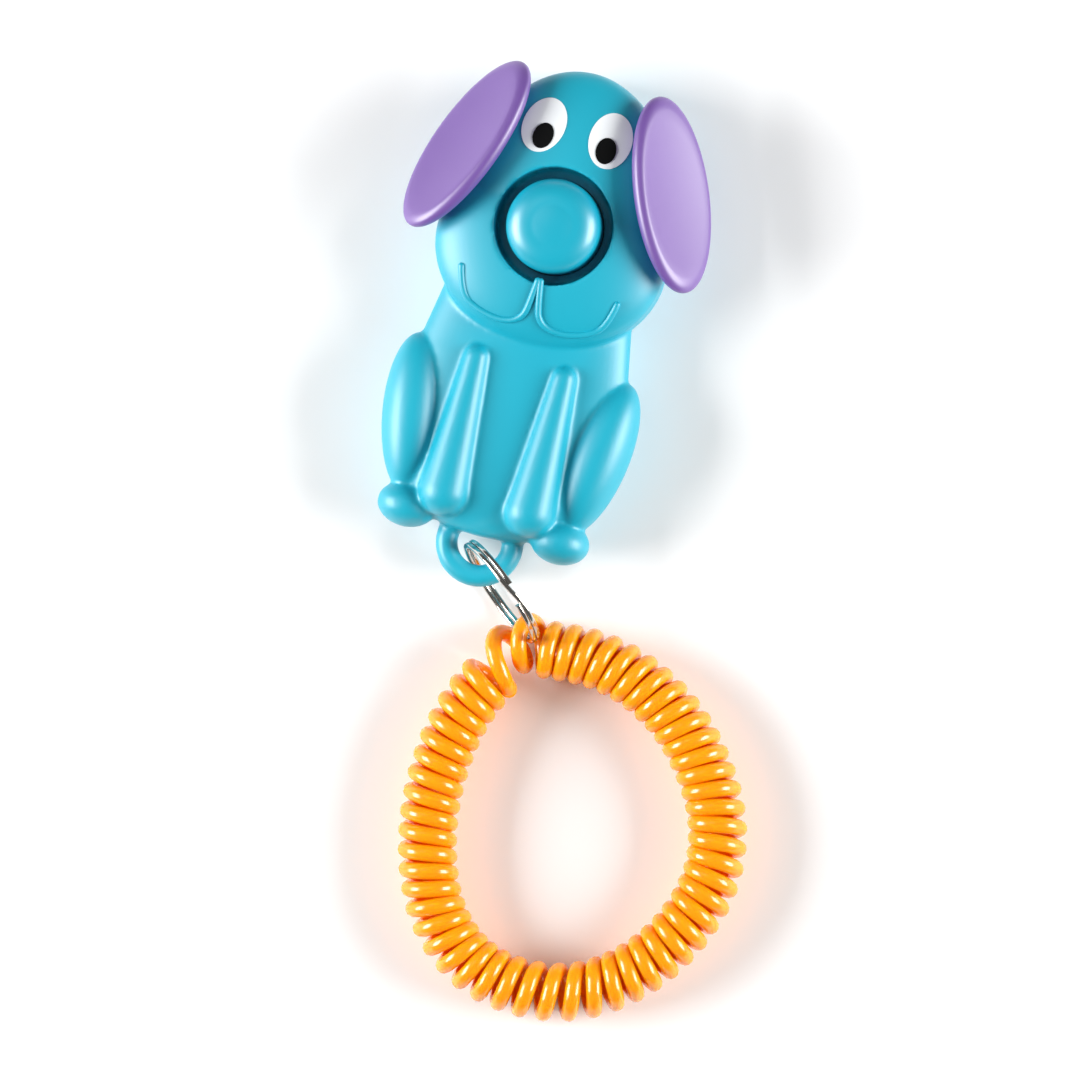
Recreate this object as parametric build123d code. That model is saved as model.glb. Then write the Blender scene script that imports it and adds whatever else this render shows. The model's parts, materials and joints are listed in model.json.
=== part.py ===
"""Dog-shaped training clicker on a split ring and a coiled wrist strap.

Units are millimetres. The dog lies on its back: +Y runs from the tail loop to the top of the head,
+Z comes out of the face, and the origin is on the flat back of the rear shell, under the nose.
A press on the nose bends a dimpled steel blade inside the case, which clicks. Each node is one piece.
"""
from build123d import *
import os
from math import cos, pi, radians, sin, sqrt, tan

# ---- case: driving sizes -------------------------------------------------------------------
PARTING_Z = 8.0          # seam between the two shells
WALL = 1.8               # moulded wall
FLOOR = 1.8              # flat back of the rear shell
HEAD_EQUATOR = (5.0, 11.5)   # heights between which the sides of the head stand upright
HEAD_BACK_RISE = 7.5     # height of the rounding from the side of the head to its back
SKULL = dict(at=(0, 4.0), half=(17.0, 22.3), rise=6.0)
CHEEKS = dict(at=(0, -4.0), half=(19.3, 16.3), rise=6.5)
TRUNK_HALF = 18.0        # half width of the body
TRUNK_NECK_HALF = 15.8   # half width where it leaves the head
TRUNK_RISE = 5.0         # crown of the body above the seam
TRUNK_DROP = 11.0        # rounding of the body under the seam, cut off by the flat back
TRUNK_Y = (-12.0, -24.0, -43.5)   # neck, shoulder, start of the rounded end
TRUNK_END = 9.2          # length of the rounded end
HAUNCH = dict(at=(15.8, -35.5), half=(5.2, 13.5), rise=5.6, drop=6.4, lean=9.0)
FOOT = dict(at=(13.1, -50.4), half=(5.0, 3.75), rise=4.6, drop=4.6, lean=0.0)
LEG_TOP = dict(at=(7.5, -24.0, 12.3), radius=2.1)
LEG_PAW = dict(at=(7.3, -46.7, 11.3), radius=4.3)

# ---- tail loop, ring and strap ---------------------------------------------------------------
LOOP_AT = (0, -53.7, 5.9)
LOOP_RADIUS = 5.5        # to the middle of the bar
LOOP_BAR = 1.85          # radius of the bar
RING_AT = (5.90, -60.62, 9.95)
RING_HEADING = -40.8     # direction of the ring's long way, from +X
RING_LEAN = 12.0         # the top of the ring leans back by this much
RING_OUTER = 10.0
RING_WIRE = (1.0, 0.85)  # radial and axial size of one turn of wire
RING_ROUNDING = 0.25     # corners of the wire
RING_WELD = 0.02         # overlap that joins the two turns into one piece
RING_CROSSOVER = (66.0, 88.0)    # where the wire changes from one turn to the other, in degrees
COIL_RADIUS = 5.1        # outside of the coil
STRAND = 1.375           # radius of the strand
COIL_Z = 5.15
LINK_AT = (12.16, -67.55, 5.6)
LINK_TURN = dict(radius=3.72, heading=14.2, pitch=30.0)
END_TURN_AT = (8.95, -71.1, 5.5)
END_TURN = dict(radius=3.72, heading=29.0, pitch=25.0)
COIL_ROUTE = [
    (15.9, -68.2), (20.8, -67.3), (29.6, -68.7), (38.1, -73.0), (44.9, -79.9), (49.8, -88.2),
    (51.4, -97.8), (48.8, -107.3), (43.4, -115.6), (35.5, -121.7), (25.9, -124.0), (15.9, -122.4),
    (8.3, -116.0), (4.2, -107.0), (2.4, -97.4), (2.7, -87.7), (4.7, -79.2), (7.2, -75.0),
]

# ---- nose and click mechanism -----------------------------------------------------------------
RECESS_RADIUS = 9.8
RECESS_FLOOR = 11.0
RECESS_SKIN = 1.6
BUTTON_RADIUS = 7.85
BUTTON_TOP = 20.7
BUTTON_EDGE = 17.0       # height where the dome meets the upright side
BUTTON_ROUNDING = 2.6    # between the crown and the side
BUTTON_CROWN = 0.5       # how far the crown falls to where the rounding starts
BUTTON_HOLE = 8.05
FLANGE = dict(radius=9.1, thick=1.2, gap=0.2)
GUIDE = dict(inner=9.3, outer=10.5, bottom=5.8)
STEM_RADIUS = 2.2
STEM_GAP = 0.1           # between the stem and the blade at rest
BLADE = dict(width=9.0, thick=0.35, z=4.6, y=(-29.0, 4.0))
DIMPLE = dict(y=-9.0, radius=3.2, height=0.6)
SEAT = dict(width=11.0, y=(-29.6, -20.0))
CLAMP = dict(width=9.0, thick=1.4, y=(-28.6, -20.4))
BLADE_SCREW = dict(x=2.6, y=-24.5, shank=1.0, head=1.75, head_high=1.2, depth=2.6, clear=0.15)
CASE_SCREW = dict(shank=1.15, head=2.1, head_high=1.6, seat=2.6, top=12.0, clear=0.15, well=0.25)
CASE_SCREW_AT = [(0, 19.0), (7.4, -42.0), (-7.4, -42.0)]
SLOT_WIDTH = 0.45        # of the cross recess in a screw head
BOSS_RADIUS = 2.9
DRILL_OVER = 0.5         # a pilot hole is this much deeper than its screw
BITE = 0.15              # how far a self-tapping thread bites into its boss

# ---- ears and printed eyes --------------------------------------------------------------------
EAR_AT = (17.5, 9.8, 14.2)
EAR_HALF = (7.8, 16.4)
EAR_THICK = 2.6
EAR_EDGE = 1.2
EAR_LEAN = 21.5          # the tops of the ears lean together
EAR_SLOPE = 45.0         # each ear falls away from the face
PEG = dict(radius=2.0, long=4.2, clear=0.05)
EYE = dict(at=(5.65, 15.9), half=(3.55, 4.72))
PUPIL = dict(at=(5.35, 14.1), half=(1.67, 2.2))
INK = 0.1
SMILE = [(0.0, -9.8), (1.0, -13.0), (2.4, -15.4), (5.0, -16.4), (8.7, -15.7), (11.7, -13.8), (13.2, -10.2)]
SMILE_WIDTH = 0.95
SMILE_RISE = 0.45

UNIT = 20.0              # radius that a round body is turned at before it is stretched
ALL = 200.0              # longer than the object


def slab(z_low, z_high):
    """A slab between two heights, wider than the object."""
    return Pos(0, 0, (z_low + z_high) / 2) * Box(ALL, ALL, z_high - z_low)


def round_body(at, half, top, bottom, equator, lean=0.0):
    """A domed body with an elliptical plan: crowned at top and bottom, upright between the equators."""
    low, high = equator
    arc_top = EllipticalCenterArc((0, high), UNIT, top - high, start_angle=0, arc_size=90)
    arc_low = EllipticalCenterArc((0, low), UNIT, low - bottom, start_angle=270, arc_size=90)
    lines = Curve() + arc_top + arc_low
    if high > low:
        lines += Line((UNIT, low), (UNIT, high))
    lines += Line((0, bottom), (0, top))
    body = revolve(Plane.XZ * make_face(lines), Axis.Z)
    body = scale(body, by=(half[0] / UNIT, half[1] / UNIT, 1))
    return Pos(at[0], at[1], 0) * Rot(0, 0, lean) * body


def head(inset=0.0):
    """Skull and cheeks as one body, inset by a wall."""
    low, high = HEAD_EQUATOR
    bodies = []
    for blob in (SKULL, CHEEKS):
        half = (blob["half"][0] - inset, blob["half"][1] - inset)
        top = high + blob["rise"] - inset
        bodies.append(round_body(blob["at"], half, top, low - HEAD_BACK_RISE, (low, high)))
    return bodies[0] + bodies[1]


def trunk(inset=0.0):
    """The body: a crowned bar that ends in a rounded end."""
    half, rise, drop = TRUNK_HALF - inset, TRUNK_RISE - inset, TRUNK_DROP
    neck, shoulder, end = TRUNK_Y

    def section(y, half_width):
        """Upright section of the body at one height."""
        lines = Curve() + EllipticalCenterArc((0, PARTING_Z), half_width, rise, start_angle=0, arc_size=180)
        lines += EllipticalCenterArc((0, PARTING_Z), half_width, drop, start_angle=180, arc_size=180)
        return Plane((0, y, 0), x_dir=(1, 0, 0), z_dir=(0, -1, 0)) * make_face(lines)

    chest = loft([section(neck, TRUNK_NECK_HALF - inset), section(shoulder, half)], ruled=True)
    belly = extrude(section(shoulder, half), shoulder - end)
    low_end = round_body(
        (0, end), (half, TRUNK_END - inset), PARTING_Z + rise, PARTING_Z - drop, (PARTING_Z, PARTING_Z)
    )
    return chest + belly + low_end


def limb(blob):
    """A haunch or a hind foot of the right side, as a whole round body."""
    top, bottom = PARTING_Z + blob["rise"], PARTING_Z - blob["drop"]
    return round_body(blob["at"], blob["half"], top, bottom, (PARTING_Z, PARTING_Z), -blob["lean"])


def front_leg():
    """The right front leg: a raised drop from the chest to the paw, turned about its own axis."""
    top, paw = Vector(*LEG_TOP["at"]), Vector(*LEG_PAW["at"])
    small, large, length = LEG_TOP["radius"], LEG_PAW["radius"], (paw - top).length
    rise = (large - small) / length
    run = sqrt(1 - rise**2)
    outline = [
        ThreePointArc(
            (0, -small),
            (small * sin(pi / 4), -small * cos(pi / 4)),
            (small * run, -small * rise),
        ),
        Line((small * run, -small * rise), (large * run, length - large * rise)),
        ThreePointArc(
            (large * run, length - large * rise),
            (large * sin(pi / 4), length + large * cos(pi / 4)),
            (0, length + large),
        ),
        Line((0, length + large), (0, -small)),
    ]
    profile = make_face(Curve() + outline)
    leg = revolve(Plane.XZ * profile, Axis.Z)
    return Plane(origin=top, z_dir=paw - top) * leg


def smile_bead():
    """The right half of the mouth: a raised line, lifted a little from the face."""
    low, high = HEAD_EQUATOR
    half = (CHEEKS["half"][0] + SMILE_RISE, CHEEKS["half"][1] + SMILE_RISE)
    top = high + CHEEKS["rise"] + SMILE_RISE
    skin = round_body(CHEEKS["at"], half, top, low - HEAD_BACK_RISE, (low, high))
    stroke = extrude(trace(Spline(SMILE), line_width=SMILE_WIDTH), BUTTON_TOP)
    return stroke & skin & slab(high, ALL)


def outer_body():
    """The whole outside of the case: its right half and the mirror image of it."""
    right = Pos(ALL / 2, 0, 0) * Box(ALL, ALL, ALL)
    half = (head() + trunk()) & right
    for feature in (limb(HAUNCH), front_leg(), limb(FOOT), smile_bead() & right):
        half += feature
    return half + mirror(half, about=Plane.YZ)


def ear_frame(side):
    """Plane through the middle of an ear: x down its slope, y along it, z out of its face."""
    lean, slope = radians(EAR_LEAN), radians(EAR_SLOPE)
    along = Vector(-side * sin(lean), cos(lean), 0)
    down = Vector(side * cos(lean) * cos(slope), sin(lean) * cos(slope), -sin(slope))
    face = Vector(side * cos(lean) * sin(slope), sin(lean) * sin(slope), cos(slope))
    origin = (side * EAR_AT[0], EAR_AT[1], EAR_AT[2])
    x_dir = down if down.cross(along).dot(face) > 0 else down * -1
    return Plane(origin=origin, x_dir=x_dir, z_dir=face)


def ear_peg(side, clear=0.0):
    """The peg that holds an ear in the side of the head."""
    frame = ear_frame(side)
    start = -EAR_THICK / 2 - PEG["long"] - clear
    length = PEG["long"] + EAR_THICK / 2 + clear
    return frame * Pos(0, 0, start + length / 2) * Cylinder(PEG["radius"] + clear, length)


def ear(side):
    """A flat moulded ear with a rounded rim and its peg."""
    pad = extrude(Ellipse(*EAR_HALF), EAR_THICK / 2, both=True)
    pad = fillet(pad.edges(), EAR_EDGE)
    return ear_frame(side) * pad + ear_peg(side)


def front_shell():
    """Face and front of the body, with the nose recess, its guide and the screw bosses."""
    above = slab(PARTING_Z, ALL)
    cup_floor = RECESS_FLOOR - RECESS_SKIN
    cup = Pos(0, 0, cup_floor + ALL / 2) * Cylinder(RECESS_RADIUS + WALL, ALL)
    cavity = (head(WALL) + trunk(WALL)) & slab(PARTING_Z - 1, ALL)
    shell = (outer_body() & above) - (cavity - cup)
    core = (head(WALL / 2) + trunk(WALL / 2)) & above
    for x, y in CASE_SCREW_AT:
        shell += (Pos(x, y, 0) * Cylinder(BOSS_RADIUS, ALL)) & core
    guide_high = RECESS_FLOOR - RECESS_SKIN / 2 - GUIDE["bottom"]
    guide = Cylinder(GUIDE["outer"], guide_high) - Cylinder(GUIDE["inner"], guide_high)
    shell += Pos(0, 0, GUIDE["bottom"] + guide_high / 2) * guide
    shell -= Pos(0, 0, RECESS_FLOOR + ALL / 2) * Cylinder(RECESS_RADIUS, ALL)
    shell -= Cylinder(BUTTON_HOLE, ALL)
    pilot = CASE_SCREW["top"] + DRILL_OVER - PARTING_Z
    for x, y in CASE_SCREW_AT:
        shell -= Pos(x, y, PARTING_Z + pilot / 2) * Cylinder(CASE_SCREW["shank"] - BITE, pilot)
    for side in (1, -1):
        shell -= ear_peg(side, PEG["clear"])
    return shell


def rear_shell():
    """Flat back with the tail loop, the screw tubes and the blade's seat."""
    outer = outer_body() & slab(0, PARTING_Z)
    outer += Pos(*LOOP_AT) * Torus(LOOP_RADIUS, LOOP_BAR)
    shell = outer - ((head(WALL) + trunk(WALL)) & slab(FLOOR, PARTING_Z + 1))
    for x, y in CASE_SCREW_AT:
        shell += Pos(x, y, PARTING_Z / 2) * Cylinder(BOSS_RADIUS, PARTING_Z)
    seat_low = FLOOR / 2
    seat = Box(SEAT["width"], SEAT["y"][1] - SEAT["y"][0], BLADE["z"] - seat_low)
    shell += Pos(0, sum(SEAT["y"]) / 2, (BLADE["z"] + seat_low) / 2) * seat
    for x, y in CASE_SCREW_AT:
        shell -= Pos(x, y, PARTING_Z / 2) * Cylinder(CASE_SCREW["shank"] + CASE_SCREW["clear"], PARTING_Z)
        well = Cylinder(CASE_SCREW["head"] + CASE_SCREW["well"], CASE_SCREW["seat"])
        shell -= Pos(x, y, CASE_SCREW["seat"] / 2) * well
    depth = BLADE_SCREW["depth"] + DRILL_OVER
    for side in (1, -1):
        hole = Cylinder(BLADE_SCREW["shank"] - BITE, depth)
        shell -= Pos(side * BLADE_SCREW["x"], BLADE_SCREW["y"], BLADE["z"] - depth / 2) * hole
    return shell


def nose_button():
    """Domed push button with the flange that keeps it in the case and the stem that meets the blade."""
    rise = BUTTON_TOP - BUTTON_EDGE
    flange_top = RECESS_FLOOR - RECESS_SKIN - FLANGE["gap"]
    flange_low = flange_top - FLANGE["thick"]
    stem_low = BLADE["z"] + BLADE["thick"] + STEM_GAP
    crown = BUTTON_RADIUS - BUTTON_ROUNDING
    sag = BUTTON_CROWN
    dome = Curve() + ThreePointArc(
        (0, BUTTON_TOP), (crown / 2, BUTTON_TOP - sag / 4), (crown, BUTTON_TOP - sag)
    )
    dome += EllipticalCenterArc(
        (crown, BUTTON_EDGE), BUTTON_ROUNDING, rise - sag, start_angle=0, arc_size=90
    )
    dome += Polyline(
        (BUTTON_RADIUS, BUTTON_EDGE),
        (BUTTON_RADIUS, flange_top),
        (FLANGE["radius"], flange_top),
        (FLANGE["radius"], flange_low),
        (STEM_RADIUS, flange_low),
        (STEM_RADIUS, stem_low),
        (0, stem_low),
        (0, BUTTON_TOP),
    )
    return revolve(Plane.XZ * make_face(dome), Axis.Z)


def screw_clearance():
    """The holes that the two screws pass through in the blade and its clamp."""
    hole = Cylinder(BLADE_SCREW["shank"] + BLADE_SCREW["clear"], 2 * BLADE_SCREW["depth"])
    x, y = BLADE_SCREW["x"], BLADE_SCREW["y"]
    return Pos(x, y, BLADE["z"]) * hole + Pos(-x, y, BLADE["z"]) * hole


def click_blade():
    """Spring-steel strip with a pressed dimple, held at its tail end."""
    y_low, y_high = BLADE["y"]
    strip = Pos(0, (y_low + y_high) / 2, BLADE["z"] + BLADE["thick"] / 2)
    blade = strip * Box(BLADE["width"], y_high - y_low, BLADE["thick"])
    reach, rise, thick = DIMPLE["radius"], DIMPLE["height"], BLADE["thick"]
    ball = (reach**2 + rise**2) / (2 * rise)
    dimple_at = Pos(0, DIMPLE["y"], BLADE["z"] + rise - ball)
    cap = dimple_at * (Sphere(ball + thick) - Sphere(ball))
    column = Pos(0, DIMPLE["y"], BLADE["z"]) * Cylinder(reach + thick / 2, 2 * (rise + thick))
    blade -= Pos(0, DIMPLE["y"], BLADE["z"]) * Cylinder(reach, 2)
    blade += cap & column & slab(BLADE["z"], ALL)
    return blade - screw_clearance()


def blade_clamp():
    """Bar that holds the tail end of the blade down on its seat."""
    y_low, y_high = CLAMP["y"]
    bottom = BLADE["z"] + BLADE["thick"]
    bar = Box(CLAMP["width"], y_high - y_low, CLAMP["thick"])
    bar = fillet(bar.edges().filter_by(Axis.Z), 1.0)
    bar = Pos(0, (y_low + y_high) / 2, bottom + CLAMP["thick"] / 2) * bar
    return bar - screw_clearance()


def screw(shank, low, high, head_radius, head_high, head_up):
    """A pan-head screw with a cross recess, head up or head down."""
    body = Pos(0, 0, (low + high) / 2) * Cylinder(shank, high - low)
    cap = Cylinder(head_radius, head_high)
    cap = fillet(cap.edges().sort_by(Axis.Z)[-1], head_high * 0.4)
    slot = Box(head_radius * 1.2, SLOT_WIDTH, head_high * 0.5)
    cap -= Pos(0, 0, head_high / 2) * (slot + Rot(0, 0, 90) * slot)
    if head_up:
        return body + Pos(0, 0, high + head_high / 2) * cap
    return body + Pos(0, 0, low - head_high / 2) * Rot(180, 0, 0) * cap


def blade_screws():
    """The two screws of the blade clamp."""
    top = BLADE["z"] + BLADE["thick"] + CLAMP["thick"]
    one = screw(BLADE_SCREW["shank"], BLADE["z"] - BLADE_SCREW["depth"], top,
                BLADE_SCREW["head"], BLADE_SCREW["head_high"], True)
    return Compound([Pos(side * BLADE_SCREW["x"], BLADE_SCREW["y"], 0) * one.solid() for side in (1, -1)])


def case_screws():
    """The screws that hold the shells together, driven from the back."""
    one = screw(CASE_SCREW["shank"], CASE_SCREW["seat"], CASE_SCREW["top"],
                CASE_SCREW["head"], CASE_SCREW["head_high"], False)
    return Compound([Pos(x, y, 0) * one.solid() for x, y in CASE_SCREW_AT])


def face_print(shape, side, lift):
    """A printed patch that follows the curve of the skull."""
    low, high = HEAD_EQUATOR
    skins = []
    for offset in (lift, lift + INK):
        half = (SKULL["half"][0] + offset, SKULL["half"][1] + offset)
        top = high + SKULL["rise"] + offset
        skins.append(round_body(SKULL["at"], half, top, low - HEAD_BACK_RISE, (low, high)))
    x, y = shape["at"]
    column = Pos(side * x, y, high) * extrude(Ellipse(*shape["half"]), BUTTON_TOP - high)
    return (column & skins[1]) - skins[0]


def ring_frame():
    """Plane of the split ring: x along its long way, y up its lean, z along its axis."""
    heading, lean = radians(RING_HEADING), radians(RING_LEAN)
    along = Vector(cos(heading), sin(heading), 0)
    across = Vector(-sin(heading), cos(heading), 0)
    up = across * sin(lean) + Vector(0, 0, cos(lean))
    return Plane(origin=RING_AT, x_dir=along, z_dir=along.cross(up))


def split_ring():
    """Double-wound ring: two turns of one wire, with the crossover between its two ends."""
    radial, axial = RING_WIRE
    middle = RING_OUTER - radial / 2
    wire = Pos(middle, 0) * RectangleRounded(radial, axial + RING_WELD, RING_ROUNDING)
    start, end = RING_CROSSOVER
    turns = []
    for level in (-axial / 2, axial / 2):
        face = Plane.XZ * Pos(0, level) * wire
        turns.append(Rot(0, 0, end) * revolve(face, Axis.Z, 360 - (end - start)))
    bridge = Rot(0, 0, start - 1) * revolve(Plane.XZ * wire, Axis.Z, end - start + 2)
    return ring_frame() * (turns[0] + turns[1] + bridge)


def loose_turn(at, turn):
    """One turn of the strand that stands alone beside the ring."""
    heading, pitch = radians(turn["heading"]), radians(turn["pitch"])
    axis = (cos(heading) * cos(pitch), sin(heading) * cos(pitch), sin(pitch))
    return Plane(origin=at, z_dir=axis) * Torus(turn["radius"], STRAND)


def wrist_coil():
    """Envelope of the coiled strap: one round tube along straight runs and tangent arcs."""
    points = [Vector(x, y, COIL_Z) for x, y in COIL_ROUTE]
    runs = [b - a for a, b in zip(points, points[1:])]
    radii = []
    for before, after in zip(runs, runs[1:]):
        turn = radians(before.get_angle(after))
        radii.append(0.45 * min(before.length, after.length) / tan(turn / 2))
    path = FilletPolyline(*points, radius=radii)
    tube = sweep((path ^ 0) * Circle(COIL_RADIUS), path=path)
    expected = pi * COIL_RADIUS**2 * path.length
    print("coil radii", [round(r, 1) for r in radii])
    print(f"coil path {path.length:.1f}, volume {tube.volume:.0f} for {expected:.0f}")
    return tube


PIECES = {
    "front_shell": front_shell,
    "rear_shell": rear_shell,
    "nose_button": nose_button,
    "click_blade": click_blade,
    "blade_clamp": blade_clamp,
    "blade_screws": blade_screws,
    "case_screws": case_screws,
    "left_ear": lambda: ear(-1),
    "right_ear": lambda: ear(1),
    "left_eye_white": lambda: face_print(EYE, -1, 0.0),
    "right_eye_white": lambda: face_print(EYE, 1, 0.0),
    "left_pupil": lambda: face_print(PUPIL, -1, INK),
    "right_pupil": lambda: face_print(PUPIL, 1, INK),
    "split_ring": split_ring,
    "wrist_coil": wrist_coil,
    "coil_link_turn": lambda: loose_turn(LINK_AT, LINK_TURN),
    "coil_end_turn": lambda: loose_turn(END_TURN_AT, END_TURN),
}

os.makedirs("parts", exist_ok=True)
for name, build in PIECES.items():
    export_step(build(), f"parts/{name}.step")
    print("wrote", name)
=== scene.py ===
"""Dog-shaped training clicker on a split ring and a coiled wrist strap.

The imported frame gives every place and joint. The classes below build the moulded shells, the ears, the
nose, the prints, the ring and the strap round it, in millimetres, and turn them to metres at the end.
"""
import json
import logging
from collections.abc import Iterable, Sequence
from dataclasses import dataclass, field
from enum import Enum
from math import asin, cos, degrees, exp, hypot, radians, sin, tau

import bmesh
import bpy
from mathutils import Matrix, Vector
from mathutils.bvhtree import BVHTree


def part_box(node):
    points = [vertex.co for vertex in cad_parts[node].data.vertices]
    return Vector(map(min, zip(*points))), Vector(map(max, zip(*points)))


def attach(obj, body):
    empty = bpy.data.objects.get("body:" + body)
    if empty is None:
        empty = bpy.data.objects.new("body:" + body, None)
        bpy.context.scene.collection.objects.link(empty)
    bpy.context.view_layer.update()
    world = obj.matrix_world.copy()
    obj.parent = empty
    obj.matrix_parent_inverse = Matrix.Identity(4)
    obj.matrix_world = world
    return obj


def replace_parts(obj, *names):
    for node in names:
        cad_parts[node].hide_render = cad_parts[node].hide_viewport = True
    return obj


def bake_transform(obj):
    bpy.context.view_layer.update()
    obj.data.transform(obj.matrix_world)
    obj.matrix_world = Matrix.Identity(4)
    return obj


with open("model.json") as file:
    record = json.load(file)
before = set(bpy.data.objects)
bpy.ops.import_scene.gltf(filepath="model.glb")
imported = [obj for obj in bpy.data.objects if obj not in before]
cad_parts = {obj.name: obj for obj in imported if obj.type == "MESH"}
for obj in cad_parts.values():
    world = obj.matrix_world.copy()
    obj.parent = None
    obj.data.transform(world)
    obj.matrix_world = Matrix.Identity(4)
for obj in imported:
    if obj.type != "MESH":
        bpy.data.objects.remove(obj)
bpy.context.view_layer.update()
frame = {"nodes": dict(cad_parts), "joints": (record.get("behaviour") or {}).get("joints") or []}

LOG = logging.getLogger("clicker")
MM = 0.001
EXACT_MERGE = 1e-4       # vertices closer than this are one, in millimetres
CLOUD_MM = 9             # size of the soft clouds in a finish's colour
Point = tuple[float, float, float]
Outline = list[tuple[float, float]]


class Side(Enum):
    """A side of the dog, as seen from the front."""

    LEFT = -1
    RIGHT = 1

    @property
    def word(self) -> str:
        """The side's name as it stands in a node's name."""
        return self.name.lower()


# ---- places read from the frame ----


def joint_axis(name: str) -> tuple[Vector, Vector]:
    """A hinge's point in millimetres and its direction.

    Args:
        name: the joint's name.

    Returns:
        The point on the axis and the unit direction.
    """
    found = next(joint for joint in frame["joints"] if joint["name"] == name)
    return Vector(found["pos_m"]) / MM, Vector(found["axis"]).normalized()


# ---- mesh tools ----


def quarter(centre: tuple[float, float], reach: tuple[float, float], start: float, steps: int) -> Outline:
    """A quarter of an ellipse, counter-clockwise.

    Args:
        centre: middle of the ellipse, as radius and height.
        reach: half sizes along radius and height.
        start: angle at which the quarter starts, in degrees.
        steps: number of chords.

    Returns:
        The points along the arc, both ends included.
    """
    angles = [radians(start + 90 * step / steps) for step in range(steps + 1)]
    return [(centre[0] + reach[0] * cos(a), centre[1] + reach[1] * sin(a)) for a in angles]


def lathe(outline: Outline, segments: int = 96) -> bmesh.types.BMesh:
    """Turns an outline once round Z.

    Args:
        outline: points as radius and height, from one pole to the other.
        segments: number of steps of the turn.

    Returns:
        A closed mesh with its faces outwards.
    """
    bm = bmesh.new()
    verts = [bm.verts.new((radius, 0, height)) for radius, height in outline]
    edges = [bm.edges.new(pair) for pair in zip(verts, verts[1:])]
    bmesh.ops.spin(
        bm, geom=verts + edges, cent=(0, 0, 0), axis=(0, 0, 1), angle=tau, steps=segments, use_merge=True
    )
    bmesh.ops.remove_doubles(bm, verts=bm.verts, dist=EXACT_MERGE)
    bmesh.ops.recalc_face_normals(bm, faces=bm.faces)
    return bm


def place(bm: bmesh.types.BMesh, *matrices: Matrix) -> bmesh.types.BMesh:
    """Moves a mesh by matrices, the first one last, as they are written."""
    total = Matrix.Identity(4)
    for matrix in matrices:
        total = total @ matrix
    bmesh.ops.transform(bm, matrix=total, verts=bm.verts)
    if total.determinant() < 0:
        bmesh.ops.reverse_faces(bm, faces=bm.faces)
    return bm


def shift(x: float, y: float, z: float) -> Matrix:
    """A move."""
    return Matrix.Translation((x, y, z))


def spread(x: float, y: float, z: float) -> Matrix:
    """A scale along the three axes."""
    return Matrix.Diagonal((x, y, z, 1))


def turn(angle: float, axis: str) -> Matrix:
    """A turn in degrees about X, Y or Z."""
    return Matrix.Rotation(radians(angle), 4, axis)


def basis(origin: Vector, x_dir: Vector, y_dir: Vector, z_dir: Vector) -> Matrix:
    """The matrix of a frame from its origin and its three directions."""
    matrix = Matrix((x_dir, y_dir, z_dir)).transposed().to_4x4()
    matrix.translation = origin
    return matrix


def mirrored(bm: bmesh.types.BMesh) -> bmesh.types.BMesh:
    """A copy of a mesh, mirrored in the dog's middle plane."""
    return place(bm.copy(), spread(-1, 1, 1))


def joined(meshes: Iterable[bmesh.types.BMesh]) -> bmesh.types.BMesh:
    """All the meshes in one, as loose shells."""
    whole = bmesh.new()
    for bm in meshes:
        part = bpy.data.meshes.new("part")
        bm.to_mesh(part)
        whole.from_mesh(part)
        bpy.data.meshes.remove(part)
        bm.free()
    return whole


def as_object(bm: bmesh.types.BMesh, name: str) -> bpy.types.Object:
    """Puts a mesh in an object of the scene and frees the bmesh."""
    mesh = bpy.data.meshes.new(name)
    bm.to_mesh(mesh)
    bm.free()
    piece = bpy.data.objects.new(name, mesh)
    bpy.context.collection.objects.link(piece)
    return piece


def bake_modifiers(piece: bpy.types.Object) -> bpy.types.Object:
    """Turns a piece's modifiers into its mesh."""
    graph = bpy.context.evaluated_depsgraph_get()
    mesh = bpy.data.meshes.new_from_object(piece.evaluated_get(graph))
    old = piece.data
    piece.modifiers.clear()
    piece.data = mesh
    bpy.data.meshes.remove(old)
    return piece


def combine(piece: bpy.types.Object, operation: str, bm: bmesh.types.BMesh) -> bpy.types.Object:
    """Adds, cuts or keeps what is common with a tool shape.

    Args:
        piece: the object that is changed.
        operation: UNION, DIFFERENCE or INTERSECT.
        bm: the tool shape, a closed mesh.

    Returns:
        The changed piece.
    """
    tool = as_object(bm, "tool")
    boolean = piece.modifiers.new("Boolean", "BOOLEAN")
    boolean.operation, boolean.object, boolean.solver = operation, tool, "MANIFOLD"
    bake_modifiers(piece)
    mesh = tool.data
    bpy.data.objects.remove(tool)
    bpy.data.meshes.remove(mesh)
    return piece


def voxel_skin(piece: bpy.types.Object, voxel: float, smoothing: int = 0) -> bpy.types.Object:
    """Melts a piece's overlapping shells into one skin.

    Args:
        piece: the object that is changed.
        voxel: grain of the skin in millimetres.
        smoothing: rounds of smoothing, which set the size of the fillets.

    Returns:
        The piece.
    """
    remesh = piece.modifiers.new("Remesh", "REMESH")
    remesh.mode, remesh.voxel_size = "VOXEL", voxel
    if smoothing:
        smooth = piece.modifiers.new("Smooth", "SMOOTH")
        smooth.factor, smooth.iterations = 0.5, smoothing
    return bake_modifiers(piece)


def taken(piece: bpy.types.Object) -> bmesh.types.BMesh:
    """The mesh of a scratch object, which is deleted."""
    bm = bmesh.new()
    bm.from_mesh(piece.data)
    remove(piece)
    return bm


def column(radius: float, low: float, high: float, at: tuple[float, float] = (0, 0)) -> bmesh.types.BMesh:
    """An upright round column between two heights."""
    bm = lathe([(0, low), (radius, low), (radius, high), (0, high)], 72)
    return place(bm, shift(at[0], at[1], 0))


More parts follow.
